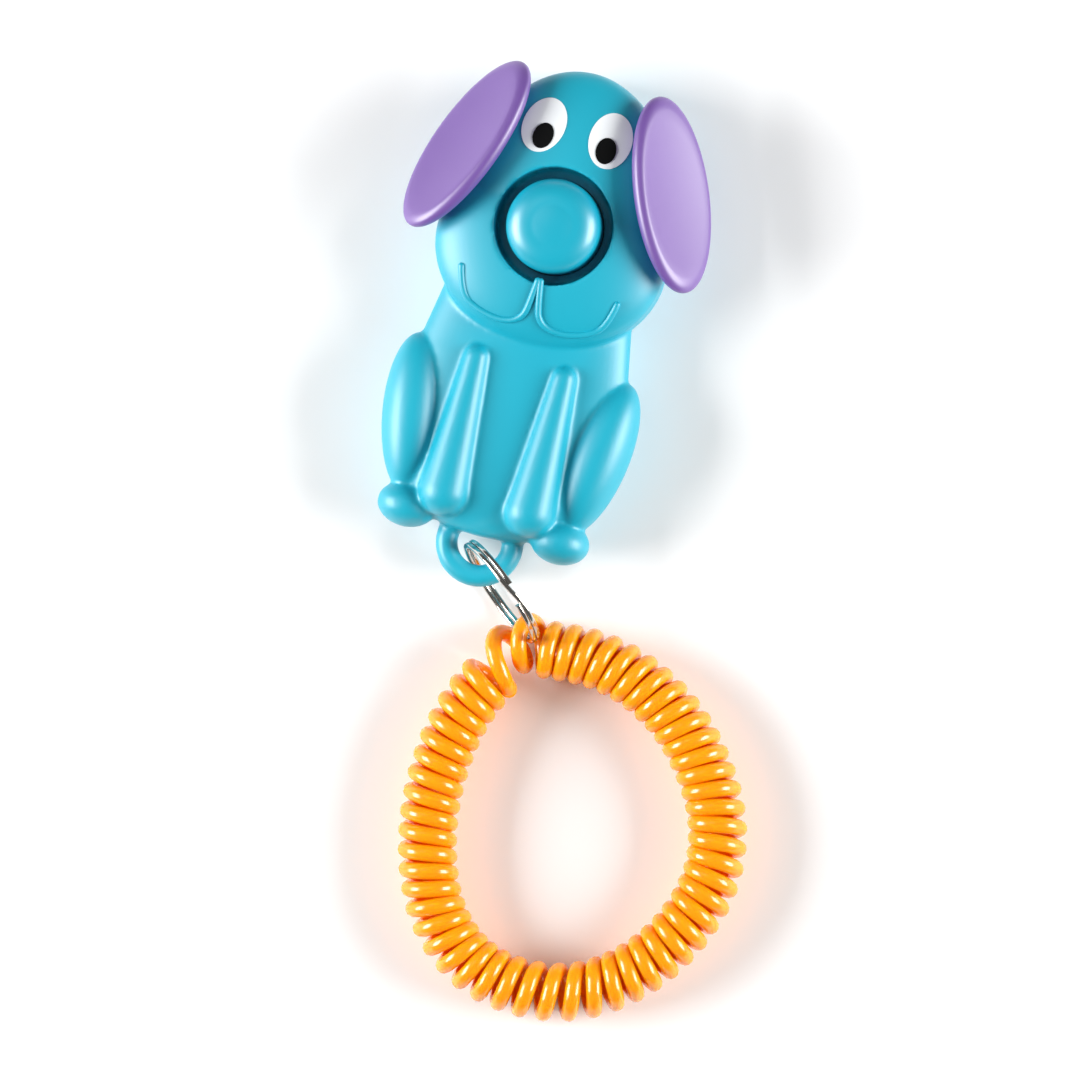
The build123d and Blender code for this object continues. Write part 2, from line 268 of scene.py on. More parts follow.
def block(low: Point, high: Point) -> bmesh.types.BMesh:
    """A box between two corners."""
    bm = bmesh.new()
    bmesh.ops.create_cube(bm, size=1)
    middle = (Vector(low) + Vector(high)) / 2
    size = Vector(high) - Vector(low)
    return place(bm, Matrix.Translation(middle), spread(*size))


def finish_mesh(piece: bpy.types.Object, angle: float = 40) -> bpy.types.Object:
    """Takes a finished mesh from millimetres to metres and shades it smooth up to an angle.

    Args:
        piece: the object, which stays at the origin.
        angle: edges that fold by more than this many degrees stay sharp.

    Returns:
        The piece.
    """
    mesh = piece.data
    mesh.transform(Matrix.Scale(MM, 4))
    for polygon in mesh.polygons:
        polygon.use_smooth = True
    mesh.set_sharp_from_angle(angle=radians(angle))
    mesh.update()
    return piece


def hand_over(
    piece: bpy.types.Object, body: str, replaced: Sequence[str], material: bpy.types.Material
) -> bpy.types.Object:
    """Dresses a finished piece and ties it to the frame.

    Args:
        piece: the finished object.
        body: the body that it moves with.
        replaced: the nodes that it stands for.
        material: its finish.

    Returns:
        The piece.
    """
    piece.data.materials.clear()
    piece.data.materials.append(material)
    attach(piece, body)
    if replaced:
        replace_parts(piece, *replaced)
    LOG.info("%s: %d faces on %s", piece.name, len(getattr(piece.data, "polygons", ())), body)
    return piece


# ---- finishes ----


def linear(code: str) -> tuple[float, float, float, float]:
    """A linear colour from its sRGB hex code."""
    channels = [int(code[i:i + 2], 16) / 255 for i in (1, 3, 5)]
    return (*[c / 12.92 if c <= 0.04045 else ((c + 0.055) / 1.055) ** 2.4 for c in channels], 1.0)


def add_node(
    tree: bpy.types.NodeTree, kind: str, settings: dict | None = None, links: dict | None = None
) -> bpy.types.Node:
    """Adds a shader node.

    Args:
        tree: the material's node tree.
        kind: the node's type name.
        settings: property names, or input names in square brackets, with their values.
        links: input names with the sockets that feed them.

    Returns:
        The node.
    """
    node = tree.nodes.new(kind)
    for key, value in (settings or {}).items():
        if key.startswith("["):
            node.inputs[key.strip("[]")].default_value = value
        else:
            setattr(node, key, value)
    for name, socket in (links or {}).items():
        tree.links.new(socket, node.inputs[name])
    return node


@dataclass(frozen=True)
class Finish:
    """What a piece is made of and how its surface was made.

    Attributes:
        name: the material's common name.
        colour: sRGB hex code of the surface.
        cloud: sRGB hex code that the colour drifts to in large soft clouds.
        roughness: middle of the roughness.
        spread: how far the roughness drifts to each side.
        ior: index of refraction.
        metallic: 1 for a metal.
        grain_mm: size of the fine relief that the mould or tool leaves.
        relief_mm: height of that relief.
        stretch: how much longer the grain is along X, Y and Z.
        coat: weight of a clear gloss over the surface.
        coat_roughness: roughness of that gloss.
        glow: weight of light that travels under the surface.
        glow_mm: how far it travels for red, green and blue.
        shine: specular level, where 0.5 is what the index of refraction gives.
        painted_glow: sRGB hex code of a painted glow that the surface gives off by itself, to lighten the
            shade in its gaps.
        painted_glow_strength: strength of that painted glow.
    """

    name: str
    colour: str
    cloud: str
    roughness: float
    spread: float = 0.03
    ior: float = 1.5
    metallic: float = 0.0
    grain_mm: float = 0.12
    relief_mm: float = 0.002
    stretch: Point = (1, 1, 1)
    coat: float = 0.0
    coat_roughness: float = 0.05
    glow: float = 0.0
    glow_mm: Point = (1, 1, 1)
    shine: float = 0.5
    # Painted glow: an emission colour and strength that lighten shaded hollows, though the piece is no lamp.
    painted_glow: str = "#000000"
    painted_glow_strength: float = 0.0

    def material(self) -> bpy.types.Material:
        """Builds the finish as a node material on Object coordinates.

        Returns:
            The material.
        """
        made = bpy.data.materials.new(self.name)
        made.use_nodes = True
        tree = made.node_tree
        tree.nodes.clear()
        place_on = add_node(tree, "ShaderNodeTexCoord").outputs["Object"]
        stretched = add_node(
            tree, "ShaderNodeMapping", {"[Scale]": tuple(1 / s for s in self.stretch)}, {"Vector": place_on}
        ).outputs["Vector"]
        soft = {"[Scale]": 1 / (CLOUD_MM * MM), "[Detail]": 2.0}
        clouds = add_node(tree, "ShaderNodeTexNoise", soft, {"Vector": place_on}).outputs["Fac"]
        fine = {"[Scale]": 1 / (self.grain_mm * MM), "[Detail]": 3.0, "[Roughness]": 0.6}
        grain = add_node(tree, "ShaderNodeTexNoise", fine, {"Vector": stretched}).outputs["Fac"]
        colour = add_node(tree, "ShaderNodeMix", {"data_type": "RGBA", "clamp_factor": True})
        for socket in colour.inputs:
            if socket.type == "RGBA":
                socket.default_value = linear(self.colour if socket.name == "A" else self.cloud)
        tree.links.new(clouds, colour.inputs["Factor"])
        low, high = self.roughness - self.spread, self.roughness + self.spread
        reach = {"[From Min]": 0.3, "[From Max]": 0.7, "[To Min]": low, "[To Max]": high}
        gloss = add_node(tree, "ShaderNodeMapRange", reach, {"Value": grain}).outputs["Result"]
        depth = {"[Strength]": 1.0, "[Distance]": self.relief_mm * MM}
        relief = add_node(tree, "ShaderNodeBump", depth, {"Height": grain}).outputs["Normal"]
        tint = next(s for s in colour.outputs if s.type == "RGBA")
        shader = add_node(
            tree,
            "ShaderNodeBsdfPrincipled",
            {
                "[IOR]": self.ior,
                "[Metallic]": self.metallic,
                "[Coat Weight]": self.coat,
                "[Coat Roughness]": self.coat_roughness,
                "[Subsurface Weight]": self.glow,
                "[Subsurface Radius]": self.glow_mm,
                "[Subsurface Scale]": MM,
                "[Specular IOR Level]": self.shine,
                # Painted glow: emission that lightens the shade in hollows, not a lamp.
                "[Emission Color]": linear(self.painted_glow),
                "[Emission Strength]": self.painted_glow_strength,
            },
            {"Base Color": tint, "Roughness": gloss, "Normal": relief},
        )
        add_node(tree, "ShaderNodeOutputMaterial", {}, {"Surface": shader.outputs["BSDF"]})
        return made


# Injection-moulded ABS with a fine satin tool finish: wide pale highlights over a full, even colour.
CYAN_ABS = Finish(
    "cyan_moulded_abs", "#00ABC3", "#00A6BF", 0.44, 0.03, 1.53, coat=0.5, coat_roughness=0.44, shine=0.6,
)
# The nose is the same ABS from a better polished mould, so its highlights are a little tighter.
NOSE_ABS = Finish(
    "cyan_polished_abs", "#00AAC3", "#00A5BE", 0.38, 0.02, 1.53, coat=0.5, coat_roughness=0.3, shine=0.8,
)
# The ears are moulded in a softer purple plastic, with a wide dull sheen.
EAR_PLASTIC = Finish(
    "purple_moulded_plastic", "#7350A0", "#6E4C9A", 0.42, 0.03, 1.5, grain_mm=0.16, coat=0.5,
    coat_roughness=0.38, shine=0.9,
)
# Pad-printed ink dries to a thin even film without much gloss.
WHITE_INK = Finish("white_pad_ink", "#FAFEFF", "#F6FBFD", 0.5, 0.02, 1.5, relief_mm=0.0008)
BLACK_INK = Finish("black_pad_ink", "#020303", "#030304", 0.55, 0.02, 1.5, relief_mm=0.0008, shine=0.15)
# Extruded polyurethane cord is glossy and lets light through. A faint orange-red painted glow (emission)
# lightens and reddens the shaded gaps between the turns.
ORANGE_CORD = Finish(
    "orange_polyurethane_cord", "#FF9F00", "#FFA406", 0.22, 0.02, 1.5, grain_mm=0.6, relief_mm=0.002,
    coat=0.15, coat_roughness=0.12, glow=0.8, glow_mm=(3.2, 1.1, 0.1), shine=0.7,
    painted_glow="#FF5510", painted_glow_strength=0.03,
)
# Nickel plate on drawn spring wire: a bright mirror with a faint fine relief.
NICKEL_PLATE = Finish(
    "nickel_plated_wire", "#D9D6D0", "#CFCCC6", 0.12, 0.05, metallic=1.0, grain_mm=0.1, relief_mm=0.001,
)
# Blued and ground spring strip shows fine grinding lines across its width.
SPRING_STEEL = Finish(
    "ground_spring_steel", "#8C8F96", "#7F838B", 0.3, 0.08, metallic=1.0, grain_mm=0.1, stretch=(12, 1, 1),
)
ZINC_PLATE = Finish("zinc_plated_steel", "#B9BCC0", "#AEB2B8", 0.28, 0.06, metallic=1.0, grain_mm=0.15)
BLACK_NYLON = Finish("black_moulded_nylon", "#15161A", "#1B1C20", 0.5, 0.05, 1.53, grain_mm=0.2)


# ---- case ----


@dataclass
class Blob:
    """A crowned body with an elliptical plan, in millimetres.

    Attributes:
        at: middle in plan.
        half: half sizes in plan.
        rise: crown above the upper equator.
        drop: crown under the lower equator.
        low: height of the lower equator.
        high: height of the upper equator.
        lean: how far it is turned in plan, in degrees.
    """

    at: tuple[float, float]
    half: tuple[float, float]
    rise: float
    drop: float
    low: float
    high: float
    lean: float = 0.0

    def shape(self, grow: float = 0.0, steps: int = 24) -> bmesh.types.BMesh:
        """The blob's mesh.

        Args:
            grow: how much its sides and its crown stand out further.
            steps: chords in each quarter of the outline.

        Returns:
            A closed mesh.
        """
        outline = quarter((0, self.low), (1, self.drop), 270, steps)
        outline += quarter((0, self.high), (1, self.rise + grow), 0, steps)
        bm = lathe(outline, 120)
        return place(
            bm,
            shift(self.at[0], self.at[1], 0),
            turn(self.lean, "Z"),
            spread(self.half[0] + grow, self.half[1] + grow, 1),
        )


@dataclass
class Casing:
    """The two moulded shells of the dog, with the recess, bosses and tail loop, in millimetres."""

    wall: float = 1.8
    floor: float = 1.8
    skull: Blob = field(default_factory=lambda: Blob((0, 4.0), (17.0, 22.3), 6.0, 7.5, 5.0, 11.5))
    cheeks: Blob = field(default_factory=lambda: Blob((0, -4.0), (19.3, 16.3), 6.5, 7.5, 5.0, 11.5))
    haunch: Blob = field(default_factory=lambda: Blob((15.8, -35.5), (5.2, 13.5), 5.6, 6.4, 8.0, 8.0, -9.0))
    foot: Blob = field(default_factory=lambda: Blob((13.1, -50.4), (5.0, 3.75), 4.6, 4.6, 8.0, 8.0))
    trunk_half: float = 18.0
    neck_half: float = 15.8
    trunk_rise: float = 5.0
    trunk_drop: float = 11.0
    trunk_y: tuple[float, float, float] = (-12.0, -24.0, -43.5)
    trunk_end: float = 9.2
    leg_top: Point = (7.5, -24.0, 12.3)
    leg_paw: Point = (7.3, -46.7, 11.3)
    leg_radii: tuple[float, float] = (2.1, 4.3)
    loop_radius: float = 5.5
    loop_bar: float = 1.85
    smile: tuple[tuple[float, float], ...] = (
        (0.25, -9.4), (0.6, -12.4), (1.3, -15.9), (4.4, -17.2), (8.9, -16.4), (12.4, -14.3), (13.3, -10.0),
    )
    smile_bead: float = 0.55
    recess_radius: float = 9.8
    recess_floor: float = 11.0
    recess_skin: float = 1.6
    button_hole: float = 8.05
    guide: tuple[float, float] = (9.3, 10.5)
    guide_low: float = 5.8
    screws: tuple[tuple[float, float], ...] = ((0, 19.0), (7.4, -42.0), (-7.4, -42.0))
    boss: float = 2.9
    screw_hole: float = 1.0
    screw_clear: float = 1.3
    screw_reach: float = 4.5
    well: tuple[float, float] = (2.35, 2.6)
    seat_margin: Point = (1.0, 1.0, 0.4)
    pilot_at: tuple[float, float] = (2.6, -24.5)
    pilot: tuple[float, float] = (0.85, 3.1)
    loop_height: float = 5.9
    seam: float = 0.05
    voxel: float = 0.33
    smoothing: int = 5
    top: float = 60.0

    @property
    def parting(self) -> float:
        """Height of the seam between the shells."""
        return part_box("rear_shell")[1].z / MM

    def trunk(self, inset: float = 0.0) -> bmesh.types.BMesh:
        """The body: a crowned bar that widens from the neck and ends round.

        Args:
            inset: how far its walls are drawn in.

        Returns:
            Two closed meshes in one.
        """
        neck, shoulder, end = self.trunk_y
        half, rise = self.trunk_half - inset, self.trunk_rise - inset
        bm = bmesh.new()
        bmesh.ops.create_circle(bm, cap_ends=True, segments=144, radius=1)
        for vert in bm.verts:
            vert.co.y *= rise if vert.co.y > 0 else self.trunk_drop
        place(bm, shift(0, neck, self.parting), turn(90, "X"), spread(self.neck_half - inset, 1, 1))
        for reach, width in ((shoulder - neck, half / (self.neck_half - inset)), (end - shoulder, 1.0)):
            front = min(bm.faces, key=lambda face: face.calc_center_median().y)
            grown = bmesh.ops.extrude_face_region(bm, geom=[front])
            verts = [item for item in grown["geom"] if isinstance(item, bmesh.types.BMVert)]
            bmesh.ops.translate(bm, vec=(0, reach, 0), verts=verts)
            bmesh.ops.scale(bm, vec=(width, 1, 1), verts=verts)
        bmesh.ops.recalc_face_normals(bm, faces=bm.faces)
        rounded = Blob(
            (0, end), (half, self.trunk_end - inset), rise, self.trunk_drop, self.parting, self.parting
        )
        return joined([bm, rounded.shape()])

    def leg(self) -> bmesh.types.BMesh:
        """The right front leg: a long drop from the chest to the paw."""
        top, paw = Vector(self.leg_top), Vector(self.leg_paw)
        small, large = self.leg_radii
        length = (paw - top).length
        rise = (large - small) / length
        slant = degrees(asin(rise))
        outline: Outline = []
        for centre, radius, start, stop in ((0.0, small, -90, -slant), (length, large, -slant, 90)):
            for step in range(17):
                angle = radians(start + (stop - start) * step / 16)
                outline.append((radius * cos(angle), centre + radius * sin(angle)))
        down = (paw - top).normalized()
        across = down.cross(Vector((0, 0, 1))).normalized()
        return place(lathe(outline, 64), basis(top, across, down.cross(across), down))

    def smile_line(self) -> bmesh.types.BMesh:
        """The raised mouth line of both sides, laid on the cheeks."""
        skin = BVHTree.FromBMesh(self.cheeks.shape())
        lines = []
        for side in Side:
            plan = read_route([(side.value * x, y, 0.0) for x, y in self.smile])
            path = [skin.ray_cast(Vector((p.x, p.y, self.top)), Vector((0, 0, -1)))[0] for p in plan]
            lines.append(bead(path, self.smile_bead))
        return joined(lines)

    def loop(self) -> bmesh.types.BMesh:
        """The tail loop, a round bar turned to a ring."""
        low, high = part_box("rear_shell")
        centre = Vector((0, low.y / MM + self.loop_radius + self.loop_bar, self.loop_height))
        bm = bmesh.new()
        bmesh.ops.create_circle(bm, segments=40, radius=self.loop_bar)
        place(bm, turn(90, "X"))
        bmesh.ops.translate(bm, vec=(self.loop_radius, 0, 0), verts=bm.verts)
        bmesh.ops.spin(
            bm, geom=bm.verts[:] + bm.edges[:], cent=(0, 0, 0), axis=(0, 0, 1), angle=tau, steps=120,
            use_merge=True,
        )
        bmesh.ops.remove_doubles(bm, verts=bm.verts, dist=EXACT_MERGE)
        bmesh.ops.recalc_face_normals(bm, faces=bm.faces)
        return place(bm, Matrix.Translation(centre))

    def slab(self, low: float, high: float) -> bmesh.types.BMesh:
        """A block wider than the case, between two heights."""
        return block((-self.top, -2 * self.top, low), (self.top, self.top, high))

    def skin(self) -> bpy.types.Object:
        """The whole outside of the case as one skin with soft inner corners."""
        recess = lathe(
            [(0, self.recess_floor), (self.recess_radius, self.recess_floor), (self.recess_radius, self.top),
             (0, self.top)], 144,
        )
        limbs = [self.haunch.shape(), self.foot.shape(), self.leg()]
        shells = [self.skull.shape(), self.cheeks.shape(), self.trunk(), self.loop()]
        both = [copy for limb in limbs for copy in (mirrored(limb), limb)]
        raw = as_object(joined(shells + both), "case_skin")
        voxel_skin(raw, self.voxel)
        combine(raw, "DIFFERENCE", recess)
        combine(raw, "INTERSECT", self.slab(0, self.top))
        voxel_skin(raw, self.voxel, self.smoothing)
        return combine(raw, "UNION", self.smile_line())

    def hollow(self) -> list[bmesh.types.BMesh]:
        """The shapes of the space inside the walls."""
        inner = [
            Blob(
                blob.at,
                (blob.half[0] - self.wall, blob.half[1] - self.wall),
                blob.rise - self.wall, blob.drop, blob.low, blob.high,
            ).shape()
            for blob in (self.skull, self.cheeks)
        ]
        return inner + [self.trunk(self.wall)]

    def cavity(self, low: float, high: float) -> bpy.types.Object:
        """The space inside the walls between two heights, as one closed body."""
        space = as_object(joined(self.hollow()), "cavity")
        voxel_skin(space, 2 * self.voxel)
        return combine(space, "INTERSECT", self.slab(low, high))

    def half_shell(self, skin: bpy.types.Object, name: str, low: float, high: float) -> bpy.types.Object:
        """A copy of the skin between two heights."""
        piece = skin.copy()
        piece.data = skin.data.copy()
        piece.name = name
        bpy.context.collection.objects.link(piece)
        return combine(piece, "INTERSECT", self.slab(low, high))

    def front(self, skin: bpy.types.Object) -> bpy.types.Object:
        """The face and the front of the body, hollow, with the recess cup, guide and bosses."""
        cup_floor = self.recess_floor - self.recess_skin
        seam = self.parting + self.seam
        piece = self.half_shell(skin, "front_case", seam, self.top)
        space = self.cavity(self.parting - 1, self.top)
        combine(space, "DIFFERENCE", column(self.recess_radius + self.wall, cup_floor, self.top))
        combine(space, "DIFFERENCE", self.tube(self.guide, self.guide_low, self.recess_floor))
        for at in self.screws:
            combine(space, "DIFFERENCE", column(self.boss, seam, self.top, at))
        combine(piece, "DIFFERENCE", taken(space))
        combine(piece, "DIFFERENCE", column(self.button_hole, 0, self.top))
        for at in self.screws:
            combine(piece, "DIFFERENCE", column(self.screw_hole, 0, self.parting + self.screw_reach, at))
        return piece

    def rear(self, skin: bpy.types.Object) -> bpy.types.Object:
        """The flat back with the tail loop, screw tubes and the blade's seat."""
        seam = self.parting - self.seam
        piece = self.half_shell(skin, "rear_case", 0, seam)
        space = self.cavity(self.floor, self.parting + 1)
        for at in self.screws:
            combine(space, "DIFFERENCE", column(self.boss, 0, self.top, at))
        low, high = (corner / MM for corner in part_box("blade_clamp"))
        seat_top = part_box("click_blade")[0].z / MM
        beside, behind, ahead = self.seat_margin
        seat = block((low.x - beside, low.y - behind, 0), (high.x + beside, high.y + ahead, seat_top))
        combine(space, "DIFFERENCE", seat)
        combine(piece, "DIFFERENCE", taken(space))
        for at in self.screws:
            combine(piece, "DIFFERENCE", column(self.screw_clear, -1, self.top, at))
            combine(piece, "DIFFERENCE", column(self.well[0], -1, self.well[1], at))
        for side in Side:
            at = (side.value * self.pilot_at[0], self.pilot_at[1])
            combine(piece, "DIFFERENCE", column(self.pilot[0], seat_top - self.pilot[1], self.top, at))
        return piece

    def tube(self, radii: tuple[float, float], low: float, high: float) -> bmesh.types.BMesh:
        """A round tube from its inner and outer radius."""
        inner, outer = radii
        outline = [(inner, low), (outer, low), (outer, high), (inner, high), (inner, low)]
        return lathe(outline, 96)

    def build(self) -> dict[str, bpy.types.Object]:
        """Builds and dresses both shells.

        Returns:
            The two shells by their node's name.
        """
        skin = self.skin()
        shells = {"front_shell": self.front(skin), "rear_shell": self.rear(skin)}
        remove(skin)
        material = CYAN_ABS.material()
        for node, piece in shells.items():
            finish_mesh(piece, 50)
            hand_over(piece, "casing", [node], material)
        return shells


def remove(piece: bpy.types.Object) -> None:
    """Deletes a scratch object and its mesh."""
    data = piece.data
    bpy.data.objects.remove(piece)
    if isinstance(data, bpy.types.Mesh):
        bpy.data.meshes.remove(data)
    else:
        bpy.data.curves.remove(data)


def smooth_curve(name: str, points: Sequence[Point], resolution: int) -> bpy.types.Object:
    """A smooth curve object from its control points.

    Args:
        name: the object's name.
        points: the control points.
        resolution: points made for each control point.

    Returns:
        The object, linked in the scene.
    """
    curve = bpy.data.curves.new(name, "CURVE")
    curve.dimensions = "3D"
    curve.resolution_u = resolution
    spline = curve.splines.new("NURBS")
    spline.points.add(len(points) - 1)
    for control, point in zip(spline.points, points):
        control.co = (*point, 1)
    spline.order_u = 3
    spline.use_endpoint_u = True
    made = bpy.data.objects.new(name, curve)
    bpy.context.collection.objects.link(made)
    return made


def read_route(points: Sequence[Point], resolution: int = 12) -> list[Vector]:
    """Points along the smooth curve that a route's points control.

    Args:
        points: the route's control points.
        resolution: points read for each control point.

    Returns:
        The points in order.
    """
    route = smooth_curve("route", points, resolution)
    mesh = bpy.data.meshes.new_from_object(route)
    found = [vert.co.copy() for vert in mesh.vertices]
    bpy.data.meshes.remove(mesh)
    remove(route)
    return found


def bead(path: Sequence[Vector], radius: float, sides: int = 16) -> bmesh.types.BMesh:
    """A round bead with rounded ends along a path.

    Args:
        path: the points that it follows.
        radius: its radius.
        sides: faces round it.

    Returns:
        A closed mesh.
    """
    bm = bmesh.new()
    directions = [(after - before).normalized() for before, after in zip(path, path[1:])]
    directions.append(directions[-1])
    start = directions[0]
    stops = [(path[0] - start * radius * sin(a), start, radius * cos(a)) for a in cap_angles()]
    stops += [(point, along, radius) for point, along in zip(path[1:-1], directions[1:-1])]
    last = directions[-1]
    stops += [(path[-1] + last * radius * sin(a), last, radius * cos(a)) for a in reversed(cap_angles())]
    previous: list[bmesh.types.BMEdge] = []
    for centre, along, reach in stops:
        frame_at = Matrix.Translation(centre) @ along.to_track_quat("Z", "Y").to_matrix().to_4x4()
        made = bmesh.ops.create_circle(bm, segments=sides, radius=reach, matrix=frame_at)["verts"]
        loop = list({edge for vert in made for edge in vert.link_edges if edge.other_vert(vert) in made})
        if previous:
            bmesh.ops.bridge_loops(bm, edges=previous + loop)
        previous = loop
    bmesh.ops.holes_fill(bm, edges=bm.edges[:], sides=sides)
    bmesh.ops.recalc_face_normals(bm, faces=bm.faces)
    return bm


def cap_angles() -> list[float]:
    """The angles at which a rounded end is cut into rings, from its tip, in radians."""
    return [radians(angle) for angle in (80, 60, 40, 20, 0)]


# ---- ears, nose and prints ----


@dataclass
class Ear:
    """A flat moulded ear with a rounded rim and the peg that holds it, in millimetres."""

    side: Side
    half: tuple[float, float] = (7.8, 16.4)
    thick: float = 2.6
    edge: float = 1.2
    dish: float = 0.35
    lean: float = 21.5
    slope: float = 45.0
    at: Point = (17.5, 9.8, 14.2)
    peg: tuple[float, float] = (2.0, 4.2)
    peg_edge: float = 0.3

    def frame(self) -> Matrix:
        """The ear's own frame: x down its slope, y along it, z out of its face."""
        side, lean, slope = self.side.value, radians(self.lean), radians(self.slope)
        along = Vector((-side * sin(lean), cos(lean), 0))
        face = Vector((side * cos(lean) * sin(slope), sin(lean) * sin(slope), cos(slope)))
        origin = Vector((side * self.at[0], self.at[1], self.at[2]))
        return basis(origin, along.cross(face), along, face)

    def pad(self) -> bmesh.types.BMesh:
        """The flat of the ear: a full round rim round a flat back and a faintly dished face."""
        edge, half_thick = self.edge, self.thick / 2
        outline: Outline = []
        for step in range(9):
            inward = step / 8
            outline.append((inward * (1 - edge / self.half[0]), -half_thick))
        flank = [(1 - edge / self.half[0] * (1 - sin(radians(a))), -half_thick + edge * (1 - cos(radians(a))))
                 for a in range(10, 91, 10)]
        outline += flank
        outline += [(r, -z) for r, z in reversed(flank)]
        for step in range(8, -1, -1):
            inward = step / 8
            outline.append((inward * (1 - edge / self.half[0]), half_thick - self.dish * (1 - inward**2)))
        return place(lathe(outline, 128), spread(self.half[0], self.half[1], 1))

    def build(self, material: bpy.types.Material) -> bpy.types.Object:
        """Builds and dresses the ear."""
        radius, length = self.peg
        piece = as_object(place(self.pad(), self.frame()), f"{self.side.word}_ear_moulding")
        low = -self.thick / 2 - length
        edge = self.peg_edge
        peg = lathe([(0, low), (radius - edge, low), (radius, low + edge), (radius, 0), (0, 0)], 48)
        combine(piece, "UNION", place(peg, self.frame()))
        finish_mesh(piece, 45)
        return hand_over(piece, "casing", [f"{self.side.word}_ear"], material)


@dataclass
class NoseButton:
    """The domed push button with its flange and stem, in millimetres."""

    rounding: float = 4.4
    crown: float = 0.4
    flange: float = 1.2
    stem: float = 2.2
    radius: float = 7.85
    edge_height: float = 17.0
    flange_top: float = 9.2
    break_edge: float = 0.25
    root: float = 0.4

    def build(self) -> bpy.types.Object:
        """Builds and dresses the button."""
        low, high = (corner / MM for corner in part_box("nose_button"))
        flange_radius = (high.x - low.x) / 2
        crown_radius = self.radius - self.rounding
        stem, edge, root = self.stem, self.break_edge, self.root
        flange_low = self.flange_top - self.flange
        outline: Outline = [(0, low.z), (stem - edge, low.z), (stem, low.z + edge)]
        outline += [(stem, flange_low - root), (stem + root, flange_low), (flange_radius, flange_low)]
        outline += [(flange_radius, self.flange_top), (self.radius, self.flange_top)]
        outline += quarter(
            (crown_radius, self.edge_height), (self.rounding, high.z - self.crown - self.edge_height), 0, 18
        )
        for step in range(8, -1, -1):
            inward = step / 9
            outline.append((inward * crown_radius, high.z - self.crown * inward**2))
        piece = finish_mesh(as_object(lathe(outline, 144), "nose_push_button"), 35)
        return hand_over(piece, "nose", ["nose_button"], NOSE_ABS.material())


@dataclass
class EyePrint:
    """An oval patch of ink that follows the skull, in millimetres."""

    node: str
    at: tuple[float, float]
    half: tuple[float, float]
    tilt: float
    lift: float
    ink: float = 0.1
    rings: int = 14
    above: float = 60.0

    def build(self, shell: bpy.types.Object, slot: str, material: bpy.types.Material) -> bpy.types.Object:
        """Builds and dresses the print.

        Args:
            shell: the finished front shell, which the ink lies on.
            slot: the record's material slot; not used.
            material: the ink.

        Returns:
            The print.
        """
        bm = bmesh.new()
        bmesh.ops.create_circle(bm, cap_ends=True, cap_tris=True, segments=72, radius=1 / self.rings)
        for ring in range(2, self.rings + 1):
            rim = [edge for edge in bm.edges if edge.is_boundary]
            grown = bmesh.ops.extrude_edge_only(bm, edges=rim)["geom"]
            verts = [item for item in grown if isinstance(item, bmesh.types.BMVert)]
            bmesh.ops.scale(bm, vec=(ring / (ring - 1),) * 3, verts=verts)
        place(bm, shift(*self.at, 0), turn(self.tilt, "Z"), spread(*self.half, 1))
        surface = bmesh.new()
        surface.from_mesh(shell.data)
        tree = BVHTree.FromBMesh(surface)
        surface.free()
        for vert in bm.verts:
            above = Vector((vert.co.x * MM, vert.co.y * MM, self.above * MM))
            hit, normal, _, _ = tree.ray_cast(above, Vector((0, 0, -1)))
            vert.co = (hit + normal * self.lift * MM) / MM
        for _ in range(3):
            inner = [vert for vert in bm.verts if not vert.is_boundary]
            bmesh.ops.smooth_vert(
                bm, verts=inner, factor=0.5, use_axis_x=False, use_axis_y=False, use_axis_z=True
            )
        bmesh.ops.recalc_face_normals(bm, faces=bm.faces)
        if sum(face.normal.z for face in bm.faces) < 0:
            bmesh.ops.reverse_faces(bm, faces=bm.faces)
        skin = bm.faces[:]
        bmesh.ops.solidify(bm, geom=skin, thickness=-self.ink)
        bmesh.ops.recalc_face_normals(bm, faces=bm.faces)
        piece = finish_mesh(as_object(bm, f"{self.node}_print"), 60)
        return hand_over(piece, "casing", [self.node], material)


@dataclass
class Face:
    """The printed eyes and the ears."""

    eye_at: tuple[float, float] = (5.65, 15.9)
    eye_half: tuple[float, float] = (3.55, 4.72)
    pupil_at: tuple[float, float] = (5.35, 14.1)
    pupil_half: tuple[float, float] = (1.67, 2.2)
    tilt: dict[Side, float] = field(default_factory=lambda: {Side.LEFT: -12.0, Side.RIGHT: 0.0})
    white_lift: float = 0.02
    pupil_lift: float = 0.14

    def build(self, shell: bpy.types.Object) -> None:
        """Builds both ears and both eyes on the finished front shell."""
        purple, white, black = EAR_PLASTIC.material(), WHITE_INK.material(), BLACK_INK.material()
        for side in Side:
            Ear(side).build(purple)
            across, tilt = side.value, self.tilt[side]
            eye_at = (across * self.eye_at[0], self.eye_at[1])
            pupil_at = (across * self.pupil_at[0], self.pupil_at[1])
            eye = EyePrint(f"{side.word}_eye_white", eye_at, self.eye_half, tilt, self.white_lift)
            eye.build(shell, "eye_white", white)
            pupil = EyePrint(f"{side.word}_pupil", pupil_at, self.pupil_half, tilt, self.pupil_lift)
            pupil.build(shell, "pupil_black", black)


# ---- click mechanism ----


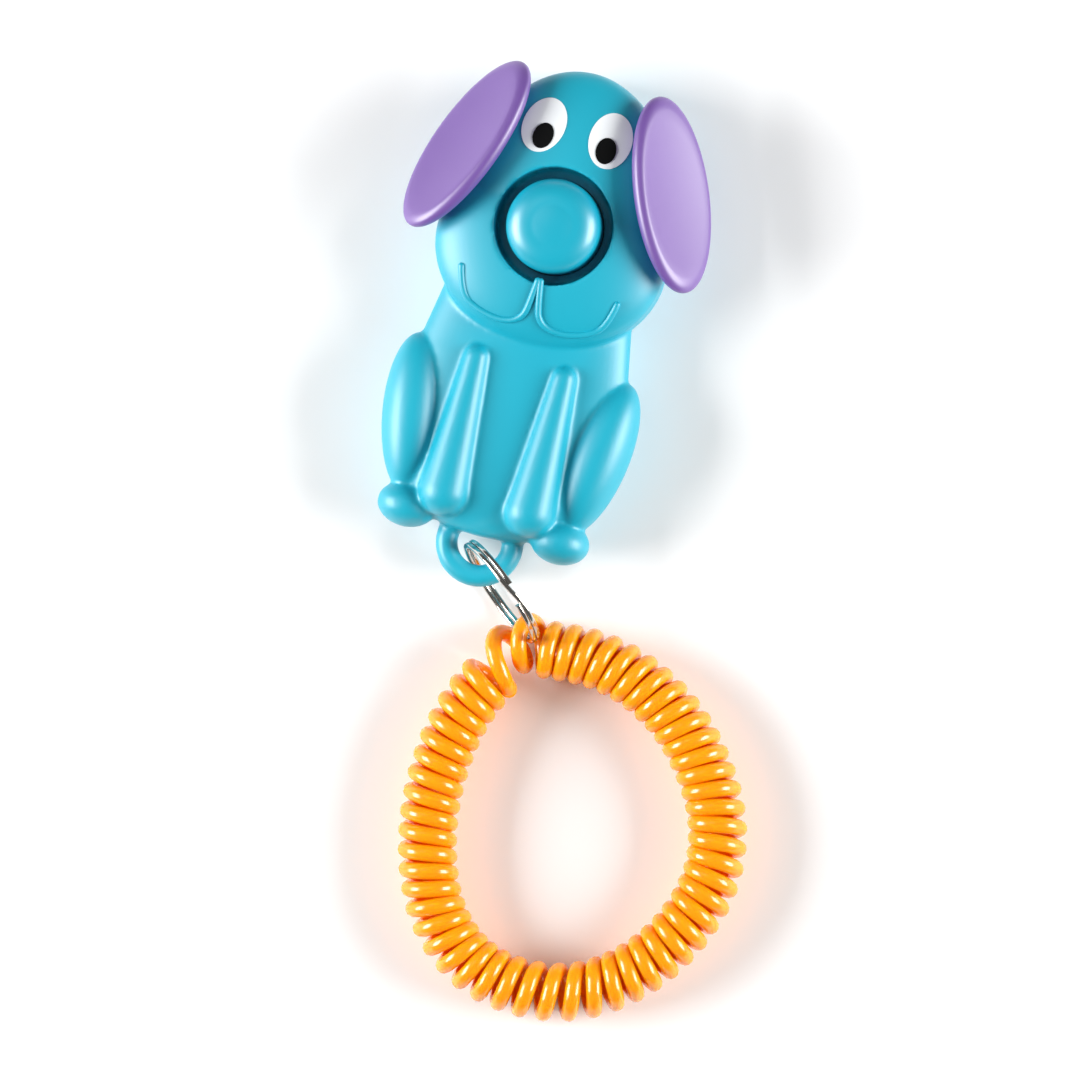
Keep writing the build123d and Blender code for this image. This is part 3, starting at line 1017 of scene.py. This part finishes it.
@dataclass
class ClickBlade:
    """The dimpled spring strip between its clamp and the nose, in millimetres."""

    dimple_y: float = -9.0
    dimple_radius: float = 3.2
    dimple_height: float = 0.6
    thick: float = 0.35
    mesh_step: float = 0.5
    stem_share: float = 0.25

    def build(self) -> bpy.types.Object:
        """Builds and dresses the strip."""
        low, high = (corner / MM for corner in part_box("click_blade"))
        bm = bmesh.new()
        steps = (round((high.x - low.x) / self.mesh_step), round((high.y - low.y) / self.mesh_step))
        bmesh.ops.create_grid(bm, x_segments=steps[0], y_segments=steps[1], size=0.5)
        middle = (low + high) / 2
        place(bm, shift(middle.x, middle.y, low.z), spread(high.x - low.x, high.y - low.y, 1))
        for vert in bm.verts:
            reach = hypot(vert.co.x, vert.co.y - self.dimple_y) / self.dimple_radius
            if reach < 1:
                vert.co.z += self.dimple_height * (1 - reach**2)
        bmesh.ops.solidify(bm, geom=bm.faces[:], thickness=-self.thick)
        bmesh.ops.recalc_face_normals(bm, faces=bm.faces)
        piece = finish_mesh(as_object(bm, "click_spring_blade"), 50)
        piece.data.materials.append(SPRING_STEEL.material())
        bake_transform(piece)
        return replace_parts(piece, "click_blade")


def dress_fasteners() -> None:
    """Gives the clamp and the screws of the frame their finishes."""
    finishes = {"blade_clamp": BLACK_NYLON, "blade_screws": ZINC_PLATE, "case_screws": ZINC_PLATE}
    for node, finish in finishes.items():
        part = frame["nodes"][node]
        material = finish.material()
        for socket in part.material_slots:
            socket.material = material


# ---- ring and strap ----


@dataclass
class SplitRing:
    """Two turns of plated wire with their cut ends, in millimetres."""

    outer: float = 10.0
    wire: tuple[float, float] = (1.0, 0.8)
    pitch: float = 0.86
    crossover: tuple[float, float] = (66.0, 88.0)
    kink: float = 44.0
    heading: float = -40.8
    corner: float = 0.28
    steps: int = 240

    def profile(self) -> bpy.types.Object:
        """The rounded section of the wire, as a closed curve."""
        curve = bpy.data.curves.new("wire_section", "CURVE")
        spline = curve.splines.new("POLY")
        half_x, half_y = self.wire[0] / 2, self.wire[1] / 2
        points = []
        for start, sx, sy in ((0, 1, 1), (90, -1, 1), (180, -1, -1), (270, 1, -1)):
            centre = (sx * (half_x - self.corner), sy * (half_y - self.corner))
            points += quarter(centre, (self.corner, self.corner), start, 4)
        spline.points.add(len(points) - 1)
        for control, (x, y) in zip(spline.points, points):
            control.co = (x, y, 0, 1)
        spline.use_cyclic_u = True
        section = bpy.data.objects.new("wire_section", curve)
        bpy.context.collection.objects.link(section)
        return section

    def build(self) -> bpy.types.Object:
        """Winds the wire and dresses the ring."""
        start, end = self.crossover
        total = 2 * (360 - (end - start)) + (end - start)
        middle = self.outer - self.wire[0] / 2
        curve = bpy.data.curves.new("split_ring_wire", "CURVE")
        curve.dimensions = "3D"
        spline = curve.splines.new("POLY")
        spline.points.add(self.steps)
        for step, control in enumerate(spline.points):
            travelled = total * step / self.steps
            across = min(1.0, max(0.0, (travelled - total / 2) / self.kink + 0.5))
            level = self.pitch * (ease(across) - 0.5)
            angle = radians(end + travelled)
            control.co = (middle * cos(angle), middle * sin(angle), level, 1)
        section = self.profile()
        curve.bevel_mode, curve.bevel_object = "OBJECT", section
        curve.use_fill_caps = True
        curve.twist_mode = "Z_UP"
        wire = bpy.data.objects.new("split_ring_wire", curve)
        bpy.context.collection.objects.link(wire)
        graph = bpy.context.evaluated_depsgraph_get()
        mesh = bpy.data.meshes.new_from_object(wire.evaluated_get(graph))
        remove(wire)
        remove(section)
        bm = bmesh.new()
        bm.from_mesh(mesh)
        bpy.data.meshes.remove(mesh)
        bmesh.ops.remove_doubles(bm, verts=bm.verts, dist=EXACT_MERGE)
        bmesh.ops.recalc_face_normals(bm, faces=bm.faces)
        centre, axis = joint_axis("ring_turn")
        along = Vector((cos(radians(self.heading)), sin(radians(self.heading)), 0))
        along = (along - axis * along.dot(axis)).normalized()
        place(bm, basis(centre, along, axis.cross(along), axis))
        piece = finish_mesh(as_object(bm, "split_ring_winding"), 35)
        return hand_over(piece, "ring", ["split_ring"], NICKEL_PLATE.material())


@dataclass
class WristStrap:
    """One elastic strand wound in a closed coil, with two loose turns beside the ring.

    The route is in metres and is the middle of the coil; the other sizes are in millimetres.
    """

    route: tuple[tuple[float, float], ...] = (
        (0.0148, -0.0683), (0.0208, -0.0673), (0.0296, -0.0687), (0.0381, -0.0730), (0.0449, -0.0799),
        (0.0498, -0.0882), (0.0514, -0.0978), (0.0488, -0.1073), (0.0434, -0.1156), (0.0355, -0.1217),
        (0.0259, -0.1240), (0.0159, -0.1224), (0.0083, -0.1160), (0.0042, -0.1070), (0.0024, -0.0974),
        (0.0027, -0.0877), (0.0047, -0.0792), (0.0074, -0.0744),
    )
    height: float = 5.15
    end_turn: tuple[Point, float, float] = ((8.4, -71.8, 5.5), 38.0, 10.0)
    link_turn: tuple[Point, float, float] = ((11.4, -67.6, 5.6), 12.0, 15.0)
    end_stretch: float = 1.18
    end_overrun: float = 0.15
    strand: float = 1.375
    winding: float = 3.72
    turns: int = 51
    points_per_turn: int = 14

    def centreline(self) -> tuple[list[Vector], list[float]]:
        """The coil's middle line and how far along it each point lies."""
        line = [point / MM for point in read_route([(x, y, self.height * MM) for x, y in self.route])]
        lengths = [0.0]
        for before, after in zip(line, line[1:]):
            lengths.append(lengths[-1] + (after - before).length)
        return line, lengths

    @staticmethod
    def along(line: list[Vector], lengths: list[float], distance: float) -> tuple[Vector, Vector]:
        """The point and the direction at a distance along a line."""
        distance = min(max(distance, 0.0), lengths[-1])
        index = next((i for i, length in enumerate(lengths[1:]) if length >= distance), len(line) - 2)
        before, after = line[index], line[index + 1]
        share = (distance - lengths[index]) / (lengths[index + 1] - lengths[index])
        ahead = line[min(index + 2, len(line) - 1)] - line[max(index - 1, 0)]
        return before.lerp(after, share), ahead.normalized()

    def spacing(self, share: float) -> float:
        """How wide the turns stand at a share of the coil, where 1 is the mean."""
        opened = 0.28 * gauss(share, 0.57, 0.03)
        return 1 + opened - 0.05 * gauss(share, 0.2, 0.08)

    def lean(self, share: float) -> float:
        """How far the turns lean in plan at a share of the coil, in degrees."""
        return -7 * gauss(share, 0.57, 0.03) + 6 * gauss(share, 0.64, 0.04)

    def strand_points(self) -> list[Vector]:
        """The strand's control points, in millimetres, from its fused start to its fused end."""
        line, lengths = self.centreline()
        steps = self.points_per_turn
        marks = [0.0]
        for step in range(self.turns * steps):
            marks.append(marks[-1] + self.spacing(step / (self.turns * steps)))
        scale = lengths[-1] / marks[-1]
        stations: list[tuple[Vector, Vector]] = []
        for mark in marks:
            point, ahead = self.along(line, lengths, mark * scale)
            stations.append((point, ahead))
        loose = [(Vector(at), aim(heading, pitch)) for at, heading, pitch in (self.end_turn, self.link_turn)]
        first = loose[0][0] - (loose[1][0] - loose[0][0]) * self.end_overrun
        lead: list[tuple[Vector, Vector]] = []
        stretches: list[float] = []
        knots = [(first, loose[0][1]), loose[0], loose[1], stations[steps // 4]]
        for (start, facing), (stop, next_facing), span in zip(knots, knots[1:], (steps // 4, steps, steps)):
            for step in range(span):
                share = ease(step / span)
                lead.append((start.lerp(stop, share), facing.lerp(next_facing, share).normalized()))
                opened = 1.0 if stop is loose[0][0] else 1 - share if start is loose[0][0] else 0.0
                stretches.append(1 + (self.end_stretch - 1) * opened)
        path = lead + stations[steps // 4:]
        found = []
        for index, (centre, axis) in enumerate(path):
            share = index / len(path)
            phase = tau * index / steps
            axis = Matrix.Rotation(radians(self.lean(share)), 3, "Z") @ axis
            left = Vector((0, 0, 1)).cross(axis).normalized()
            up = axis.cross(left)
            stretch = stretches[index] if index < len(stretches) else 1.0
            found.append(centre + self.winding * (-stretch * cos(phase) * left + sin(phase) * up))
        return found

    def build(self) -> bpy.types.Object:
        points = [point * MM for point in self.strand_points()]
        strap = smooth_curve("wrist_strap_strand", points, 2)
        strap.data.bevel_depth = self.strand * MM
        strap.data.bevel_resolution = 4
        strap.data.use_fill_caps = True
        strap.data.materials.append(ORANGE_CORD.material())
        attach(strap, "strap")
        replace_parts(strap, "wrist_coil", "coil_link_turn", "coil_end_turn")
        return strap


def ease(share: float) -> float:
    """A share from 0 to 1 that starts and ends slowly."""
    return share * share * (3 - 2 * share)


def gauss(value: float, middle: float, width: float) -> float:
    """A smooth bump of height 1 round a middle."""
    return exp(-((value - middle) / width) ** 2 / 2)


def aim(heading: float, pitch: float) -> Vector:
    """A direction from its heading in plan and its pitch above it, in degrees."""
    flat = cos(radians(pitch))
    return Vector((cos(radians(heading)) * flat, sin(radians(heading)) * flat, sin(radians(pitch))))


# ---- stage ----


@dataclass
class Studio:
    """A pale floor, soft lights and the camera; metres."""

    distance: float = 2.0
    tip: float = 4.7
    up: tuple[float, float] = (-0.245, 0.969)
    target: Point = (0.01059, -0.0508, 0.0175)
    width: float = 0.1782
    sensor: float = 36.0

    def camera(self) -> bpy.types.Object:
        """Places the camera over the dog, tipped a little to its right side."""
        data = bpy.data.cameras.new("camera")
        data.sensor_width = self.sensor
        data.lens = self.sensor * self.distance / self.width
        data.clip_start, data.clip_end = 0.01, 10
        back = Vector((sin(radians(self.tip)), 0, cos(radians(self.tip))))
        across = Vector((*self.up, 0)).cross(back).normalized()
        found = bpy.data.objects.new("camera", data)
        bpy.context.collection.objects.link(found)
        place_at = Vector(self.target) + back * self.distance
        found.matrix_world = basis(place_at, across, back.cross(across), back)
        bpy.context.scene.camera = found
        return found

    def softbox(self, name: str, at: Point, size: tuple[float, float], watts: float) -> None:
        """A large rectangular light that faces the object.

        Args:
            name: the light's name.
            at: where it stands from the camera's target: to the right of the view, up it and above it.
            size: its width and height.
            watts: its power.
        """
        data = bpy.data.lights.new(name, "AREA")
        data.shape = "RECTANGLE"
        data.size, data.size_y = size
        data.energy = watts
        lamp = bpy.data.objects.new(name, data)
        bpy.context.collection.objects.link(lamp)
        up = Vector((*self.up, 0))
        place_at = Vector(self.target) + at[0] * Vector((up.y, -up.x, 0)) + at[1] * up + Vector((0, 0, at[2]))
        lamp.location = place_at
        lamp.rotation_euler = (Vector(self.target) - place_at).to_track_quat("-Z", "Y").to_euler()

    def build(self) -> None:
        """Builds the floor, the lights and the camera."""
        bm = bmesh.new()
        bmesh.ops.create_grid(bm, x_segments=2, y_segments=2, size=2)
        floor = as_object(bm, "studio_floor")
        paper = Finish("white_paper_sweep", "#FCFCFC", "#FAFAFA", 0.8, 0.02, grain_mm=0.4)
        floor.data.materials.append(paper.material())
        self.camera()
        self.softbox("left_softbox", (-0.74, 0.02, 0.36), (0.55, 0.42), 10.8)
        self.softbox("right_softbox", (0.76, -0.04, 0.34), (0.55, 0.42), 10.0)
        self.softbox("top_softbox", (-0.3, 0.4, 0.95), (0.45, 0.45), 0.4)
        world = bpy.data.worlds.new("studio")
        bpy.context.scene.world = world
        world.use_nodes = True
        background = world.node_tree.nodes["Background"]
        background.inputs["Color"].default_value = (1, 1, 1, 1)
        background.inputs["Strength"].default_value = 0.12
        bpy.context.scene.view_settings.view_transform = "Standard"


def main() -> None:
    """Builds every sub-assembly in order."""
    logging.basicConfig(level=logging.INFO, format="%(name)s: %(message)s")
    Studio().build()
    WristStrap().build()
    SplitRing().build()
    shells = Casing().build()
    NoseButton().build()
    Face().build(shells["front_shell"])
    ClickBlade().build()
    dress_fasteners()
    bpy.context.view_layer.update()


if __name__ == "__main__":
    main()
